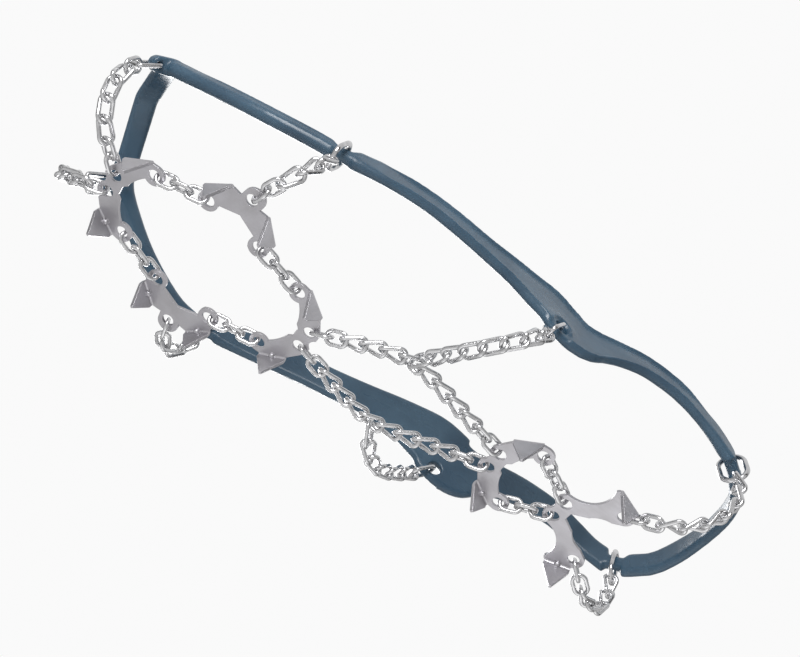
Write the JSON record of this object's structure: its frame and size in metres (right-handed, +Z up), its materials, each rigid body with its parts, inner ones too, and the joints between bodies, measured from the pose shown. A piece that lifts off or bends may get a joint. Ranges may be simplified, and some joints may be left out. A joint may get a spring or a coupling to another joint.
{
  "type": "shoe ice cleats",
  "caption": "Pull-on shoe ice cleats: an elastic harness that holds spiked steel plates and link chains under a shoe's sole.",
  "frame": {"origin": "middle of the plane in which the shoe's sole bears on the plates", "axes": "+X towards the toe, +Y towards the wearer's left, +Z up into the shoe"},
  "size_m": [0.2895, 0.1218, 0.064],
  "materials": {
    "elastomer": "satin",
    "plate_steel": "satin",
    "chain_steel": "polished"
  },
  "bodies": {
    "harness": {"harness": "elastomer"},
    "toe_plate": {"toe_plate": "plate_steel"},
    "ball_left_plate": {"ball_left_plate": "plate_steel"},
    "ball_right_plate": {"ball_right_plate": "plate_steel"},
    "midfoot_plate": {"midfoot_plate": "plate_steel"},
    "front_heel_plate": {"front_heel_plate": "plate_steel"},
    "rear_heel_plate": {"rear_heel_plate": "plate_steel"},
    "toe_ball_left_link_front": {"toe_ball_left_link_front": "chain_steel"},
    "toe_ball_left_link_middle": {"toe_ball_left_link_middle": "chain_steel"},
    "toe_ball_left_link_rear": {"toe_ball_left_link_rear": "chain_steel"},
    "toe_ball_right_link_front": {"toe_ball_right_link_front": "chain_steel"},
    "toe_ball_right_link_middle": {"toe_ball_right_link_middle": "chain_steel"},
    "toe_ball_right_link_rear": {"toe_ball_right_link_rear": "chain_steel"},
    "ball_midfoot_left_link_front": {"ball_midfoot_left_link_front": "chain_steel"},
    "ball_midfoot_left_link_middle": {"ball_midfoot_left_link_middle": "chain_steel"},
    "ball_midfoot_left_link_rear": {"ball_midfoot_left_link_rear": "chain_steel"},
    "ball_midfoot_right_link_front": {"ball_midfoot_right_link_front": "chain_steel"},
    "ball_midfoot_right_link_middle": {"ball_midfoot_right_link_middle": "chain_steel"},
    "ball_midfoot_right_link_rear": {"ball_midfoot_right_link_rear": "chain_steel"},
    "heel_left_link_front": {"heel_left_link_front": "chain_steel"},
    "heel_left_link_middle": {"heel_left_link_middle": "chain_steel"},
    "heel_left_link_rear": {"heel_left_link_rear": "chain_steel"},
    "heel_right_link_front": {"heel_right_link_front": "chain_steel"},
    "heel_right_link_middle": {"heel_right_link_middle": "chain_steel"},
    "heel_right_link_rear": {"heel_right_link_rear": "chain_steel"},
    "toe_left_chain_lower": {"toe_left_chain_lower": "chain_steel"},
    "toe_left_chain_upper": {"toe_left_chain_upper": "chain_steel"},
    "toe_left_ring": {"toe_left_ring": "chain_steel"},
    "toe_right_chain_lower": {"toe_right_chain_lower": "chain_steel"},
    "toe_right_chain_upper": {"toe_right_chain_upper": "chain_steel"},
    "toe_right_ring": {"toe_right_ring": "chain_steel"},
    "ball_left_chain_lower": {"ball_left_chain_lower": "chain_steel"},
    "ball_left_chain_upper": {"ball_left_chain_upper": "chain_steel"},
    "ball_left_ring": {"ball_left_ring": "chain_steel"},
    "ball_right_chain_lower": {"ball_right_chain_lower": "chain_steel"},
    "ball_right_chain_upper": {"ball_right_chain_upper": "chain_steel"},
    "ball_right_ring": {"ball_right_ring": "chain_steel"},
    "heel_left_chain_lower": {"heel_left_chain_lower": "chain_steel"},
    "heel_left_chain_upper": {"heel_left_chain_upper": "chain_steel"},
    "heel_left_ring": {"heel_left_ring": "chain_steel"},
    "heel_right_chain_lower": {"heel_right_chain_lower": "chain_steel"},
    "heel_right_chain_upper": {"heel_right_chain_upper": "chain_steel"},
    "heel_right_ring": {"heel_right_ring": "chain_steel"},
    "arch_left_chain_front": {"arch_left_chain_front": "chain_steel"},
    "arch_left_chain_rear": {"arch_left_chain_rear": "chain_steel"},
    "arch_left_side_chain_lower": {"arch_left_side_chain_lower": "chain_steel"},
    "arch_left_side_chain_upper": {"arch_left_side_chain_upper": "chain_steel"},
    "arch_left_ring": {"arch_left_ring": "chain_steel"},
    "arch_right_chain_front": {"arch_right_chain_front": "chain_steel"},
    "arch_right_chain_rear": {"arch_right_chain_rear": "chain_steel"},
    "arch_right_side_chain_lower": {"arch_right_side_chain_lower": "chain_steel"},
    "arch_right_side_chain_upper": {"arch_right_side_chain_upper": "chain_steel"},
    "arch_right_ring": {"arch_right_ring": "chain_steel"}
  },
  "joints": [
    {"name": "toe_plate_rock", "type": "hinge", "parent": "harness", "child": "toe_plate", "pos_m": [0.1033, 0.0021, -0.0006], "axis": [-0.0628, 0.998, 0], "range_deg": [-0.8, 0.8]},
    {"name": "ball_left_plate_rock", "type": "hinge", "parent": "harness", "child": "ball_left_plate", "pos_m": [0.0628, 0.025, -0.0006], "axis": [-0.007, 1, 0], "range_deg": [-0.7, 0.7]},
    {"name": "ball_right_plate_rock", "type": "hinge", "parent": "harness", "child": "ball_right_plate", "pos_m": [0.0667, -0.0276, -0.0006], "axis": [-0.1788, 0.9839, 0], "range_deg": [-0.5, 0.5]},
    {"name": "midfoot_plate_rock", "type": "hinge", "parent": "harness", "child": "midfoot_plate", "pos_m": [0.0258, -0.0034, -0.0006], "axis": [0.0872, -0.9962, 0], "range_deg": [-1.1, 1.1]},
    {"name": "front_heel_plate_rock", "type": "hinge", "parent": "harness", "child": "front_heel_plate", "pos_m": [-0.0692, 0.0025, -0.0006], "axis": [0, 1, 0], "range_deg": [-0.8, 0.8]},
    {"name": "rear_heel_plate_rock", "type": "hinge", "parent": "harness", "child": "rear_heel_plate", "pos_m": [-0.1025, 0.0016, -0.0006], "axis": [-0.0175, 0.9998, 0], "range_deg": [-0.2, 0.2]},
    {"name": "toe_ball_left_link_front_roll", "type": "hinge", "parent": "harness", "child": "toe_ball_left_link_front", "pos_m": [0.09159, 0.01837, -0.0006], "axis": [-0.9705, 0.2409, 0], "range_deg": [-6.8, 6.8]},
    {"name": "toe_ball_left_link_middle_roll", "type": "hinge", "parent": "harness", "child": "toe_ball_left_link_middle", "pos_m": [0.08568, 0.01984, -0.0006], "axis": [-0.9705, 0.2409, 0], "range_deg": [-15, 15]},
    {"name": "toe_ball_left_link_rear_roll", "type": "hinge", "parent": "harness", "child": "toe_ball_left_link_rear", "pos_m": [0.07977, 0.02131, -0.0006], "axis": [-0.9705, 0.2409, 0], "range_deg": [-6.8, 6.8]},
    {"name": "toe_ball_right_link_front_roll", "type": "hinge", "parent": "harness", "child": "toe_ball_right_link_front", "pos_m": [0.09382, -0.01578, -0.0006], "axis": [-0.9103, -0.4139, 0], "range_deg": [-5.1, 5.1]},
    {"name": "toe_ball_right_link_middle_roll", "type": "hinge", "parent": "harness", "child": "toe_ball_right_link_middle", "pos_m": [0.08826, -0.0183, -0.0006], "axis": [-0.9103, -0.4139, 0], "range_deg": [-15, 15]},
    {"name": "toe_ball_right_link_rear_roll", "type": "hinge", "parent": "harness", "child": "toe_ball_right_link_rear", "pos_m": [0.0827, -0.02083, -0.0006], "axis": [-0.9103, -0.4139, 0], "range_deg": [-5.1, 5.1]},
    {"name": "ball_midfoot_left_link_front_roll", "type": "hinge", "parent": "harness", "child": "ball_midfoot_left_link_front", "pos_m": [0.04684, 0.01727, -0.0006], "axis": [-0.9612, -0.2757, 0], "range_deg": [-6.8, 6.8]},
    {"name": "ball_midfoot_left_link_middle_roll", "type": "hinge", "parent": "harness", "child": "ball_midfoot_left_link_middle", "pos_m": [0.04099, 0.01559, -0.0006], "axis": [-0.9612, -0.2757, 0], "range_deg": [-15, 15]},
    {"name": "ball_midfoot_left_link_rear_roll", "type": "hinge", "parent": "harness", "child": "ball_midfoot_left_link_rear", "pos_m": [0.03513, 0.01391, -0.0006], "axis": [-0.9612, -0.2757, 0], "range_deg": [-6.8, 6.8]},
    {"name": "ball_midfoot_right_link_front_roll", "type": "hinge", "parent": "harness", "child": "ball_midfoot_right_link_front", "pos_m": [0.0497, -0.02228, -0.0006], "axis": [-0.9725, 0.2327, 0], "range_deg": [-6.8, 6.8]},
    {"name": "ball_midfoot_right_link_middle_roll", "type": "hinge", "parent": "harness", "child": "ball_midfoot_right_link_middle", "pos_m": [0.04379, -0.02087, -0.0006], "axis": [-0.9725, 0.2327, 0], "range_deg": [-15, 15]},
    {"name": "ball_midfoot_right_link_rear_roll", "type": "hinge", "parent": "harness", "child": "ball_midfoot_right_link_rear", "pos_m": [0.03788, -0.01946, -0.0006], "axis": [-0.9725, 0.2327, 0], "range_deg": [-6.8, 6.8]},
    {"name": "heel_left_link_front_roll", "type": "hinge", "parent": "harness", "child": "heel_left_link_front", "pos_m": [-0.07929, 0.0153, -0.0006], "axis": [-0.8342, -0.5514, 0], "range_deg": [-5.1, 5.1]},
    {"name": "heel_left_link_middle_roll", "type": "hinge", "parent": "harness", "child": "heel_left_link_middle", "pos_m": [-0.08439, 0.01193, -0.0006], "axis": [-0.8342, -0.5514, 0], "range_deg": [-15, 15]},
    {"name": "heel_left_link_rear_roll", "type": "hinge", "parent": "harness", "child": "heel_left_link_rear", "pos_m": [-0.08948, 0.00856, -0.0006], "axis": [-0.8342, -0.5514, 0], "range_deg": [-9, 9]},
    {"name": "heel_right_link_front_roll", "type": "hinge", "parent": "harness", "child": "heel_right_link_front", "pos_m": [-0.07928, -0.01062, -0.0006], "axis": [-0.8633, 0.5047, 0], "range_deg": [-9, 9]},
    {"name": "heel_right_link_middle_roll", "type": "hinge", "parent": "harness", "child": "heel_right_link_middle", "pos_m": [-0.08432, -0.00767, -0.0006], "axis": [-0.8633, 0.5047, 0], "range_deg": [-15, 15]},
    {"name": "heel_right_link_rear_roll", "type": "hinge", "parent": "harness", "child": "heel_right_link_rear", "pos_m": [-0.08935, -0.00473, -0.0006], "axis": [-0.8633, 0.5047, 0], "range_deg": [-12, 12]},
    {"name": "toe_left_chain_lower_swing", "type": "hinge", "parent": "harness", "child": "toe_left_chain_lower", "pos_m": [0.10946, 0.00721, -0.00061], "axis": [0.4015, 0.7075, 0.5815], "range_deg": [-8, 8]},
    {"name": "toe_left_chain_upper_swing", "type": "hinge", "parent": "toe_left_chain_lower", "child": "toe_left_chain_upper", "pos_m": [0.12412, 0.02966, 0.0017], "axis": [0.0762, 0.2858, 0.9553], "range_deg": [-6, 6]},
    {"name": "toe_left_ring_tilt", "type": "hinge", "parent": "harness", "child": "toe_left_ring", "pos_m": [0.12189, 0.03664, 0.02861], "axis": [0.6683, -0.5208, 0.5312], "range_deg": [-2.9, 2.9]},
    {"name": "toe_right_chain_lower_swing", "type": "hinge", "parent": "harness", "child": "toe_right_chain_lower", "pos_m": [0.11001, -0.0018, -0.00056], "axis": [0.411, -0.6222, 0.6662], "range_deg": [-6, 6]},
    {"name": "toe_right_chain_upper_swing", "type": "hinge", "parent": "toe_right_chain_lower", "child": "toe_right_chain_upper", "pos_m": [0.13043, -0.01271, 0.00491], "axis": [-0.2788, -0.4991, 0.8205], "range_deg": [-4.5, 4.5]},
    {"name": "toe_right_ring_tilt", "type": "hinge", "parent": "harness", "child": "toe_right_ring", "pos_m": [0.1211, -0.02449, 0.02833], "axis": [-0.5834, -0.6667, -0.4638], "range_deg": [-3.6, 3.6]},
    {"name": "ball_left_chain_lower_swing", "type": "hinge", "parent": "harness", "child": "ball_left_chain_lower", "pos_m": [0.06142, 0.0347, -0.00061], "axis": [-0.4462, 0.6695, 0.5939], "range_deg": [-2.7, 2.7]},
    {"name": "ball_left_chain_upper_swing", "type": "hinge", "parent": "ball_left_chain_lower", "child": "ball_left_chain_upper", "pos_m": [0.05295, 0.05169, 0.00226], "axis": [-0.3213, 0.2322, 0.918], "range_deg": [-3.4, 3.4]},
    {"name": "ball_left_ring_tilt", "type": "hinge", "parent": "harness", "child": "ball_left_ring", "pos_m": [0.04584, 0.0537, 0.02868], "axis": [-0.984, 0.1275, -0.1241], "range_deg": [-2.8, 2.8]},
    {"name": "ball_right_chain_lower_swing", "type": "hinge", "parent": "harness", "child": "ball_right_chain_lower", "pos_m": [0.06719, -0.03721, -0.00058], "axis": [-0.3506, -0.6493, 0.6749], "range_deg": [-2.7, 2.7]},
    {"name": "ball_right_chain_upper_swing", "type": "hinge", "parent": "ball_right_chain_lower", "child": "ball_right_chain_upper", "pos_m": [0.06241, -0.05425, 0.0026], "axis": [-0.3063, -0.0797, 0.9486], "range_deg": [-3.4, 3.4]},
    {"name": "ball_right_ring_tilt", "type": "hinge", "parent": "harness", "child": "ball_right_ring", "pos_m": [0.05509, -0.05187, 0.02843], "axis": [-0.9786, -0.1021, -0.1786], "range_deg": [-2.8, 2.8]},
    {"name": "heel_left_chain_lower_swing", "type": "hinge", "parent": "harness", "child": "heel_left_chain_lower", "pos_m": [-0.11232, 0.01748, -0.00061], "axis": [-0.5736, 0.567, 0.5912], "range_deg": [-4.8, 4.8]},
    {"name": "heel_left_chain_upper_swing", "type": "hinge", "parent": "heel_left_chain_lower", "child": "heel_left_chain_upper", "pos_m": [-0.13606, 0.0406, 0.00115], "axis": [-0.0555, 0.0693, 0.9961], "range_deg": [-6, 6]},
    {"name": "heel_left_ring_tilt", "type": "hinge", "parent": "harness", "child": "heel_left_ring", "pos_m": [-0.13503, 0.04013, 0.03581], "axis": [-0.7883, -0.613, 0.0526], "range_deg": [-5, 5]},
    {"name": "heel_right_chain_lower_swing", "type": "hinge", "parent": "harness", "child": "heel_right_chain_lower", "pos_m": [-0.11184, -0.01453, -0.00061], "axis": [-0.6185, -0.4546, 0.6409], "range_deg": [-2.9, 2.9]},
    {"name": "heel_right_chain_upper_swing", "type": "hinge", "parent": "heel_right_chain_lower", "child": "heel_right_chain_upper", "pos_m": [-0.13238, -0.03043, 0.00118], "axis": [-0.1723, -0.0938, 0.9806], "range_deg": [-6, 6]},
    {"name": "heel_right_ring_tilt", "type": "hinge", "parent": "harness", "child": "heel_right_ring", "pos_m": [-0.13561, -0.03151, 0.03596], "axis": [-0.7722, 0.6354, -0.0014], "range_deg": [-5, 5]},
    {"name": "arch_left_chain_front_swing", "type": "hinge", "parent": "harness", "child": "arch_left_chain_front", "pos_m": [0.01888, 0.00047, -0.0006], "axis": [-0.9083, 0.4183, 0], "range_deg": [-5, 5]},
    {"name": "arch_left_chain_rear_swing", "type": "hinge", "parent": "harness", "child": "arch_left_chain_rear", "pos_m": [-0.06256, 0.00677, -0.0006], "axis": [0.9705, 0.2412, 0], "range_deg": [-6, 6]},
    {"name": "arch_left_side_chain_lower_swing", "type": "hinge", "parent": "harness", "child": "arch_left_side_chain_lower", "pos_m": [-0.01674, 0.01682, -0.00028], "axis": [-0.6583, 0.6801, 0.3225], "range_deg": [-8, 8]},
    {"name": "arch_left_side_chain_upper_swing", "type": "hinge", "parent": "arch_left_side_chain_lower", "child": "arch_left_side_chain_upper", "pos_m": [-0.03681, 0.04831, -0.00353], "axis": [-0.5559, 0.123, 0.8221], "range_deg": [-6, 6]},
    {"name": "arch_left_ring_tilt", "type": "hinge", "parent": "harness", "child": "arch_left_ring", "pos_m": [-0.05264, 0.04934, 0.02302], "axis": [-0.9328, -0.0424, -0.3579], "range_deg": [-5, 5]},
    {"name": "arch_right_chain_front_swing", "type": "hinge", "parent": "harness", "child": "arch_right_chain_front", "pos_m": [0.01955, -0.00819, -0.0006], "axis": [-0.9711, -0.2387, 0], "range_deg": [-5, 5]},
    {"name": "arch_right_chain_rear_swing", "type": "hinge", "parent": "harness", "child": "arch_right_chain_rear", "pos_m": [-0.06259, -0.00184, -0.0006], "axis": [0.9335, -0.3585, 0], "range_deg": [-6, 6]},
    {"name": "arch_right_side_chain_lower_swing", "type": "hinge", "parent": "harness", "child": "arch_right_side_chain_lower", "pos_m": [-0.01851, -0.01753, -0.00089], "axis": [-0.6835, -0.5921, 0.4268], "range_deg": [-8, 8]},
    {"name": "arch_right_side_chain_upper_swing", "type": "hinge", "parent": "arch_right_side_chain_lower", "child": "arch_right_side_chain_upper", "pos_m": [-0.03176, -0.03527, -0.00171], "axis": [-0.6111, -0.2834, 0.739], "range_deg": [-6, 6]},
    {"name": "arch_right_ring_tilt", "type": "hinge", "parent": "harness", "child": "arch_right_ring", "pos_m": [-0.05219, -0.04199, 0.02316], "axis": [0.7799, 0.0897, 0.6195], "range_deg": [-1.1, 1.1]}
  ]
}
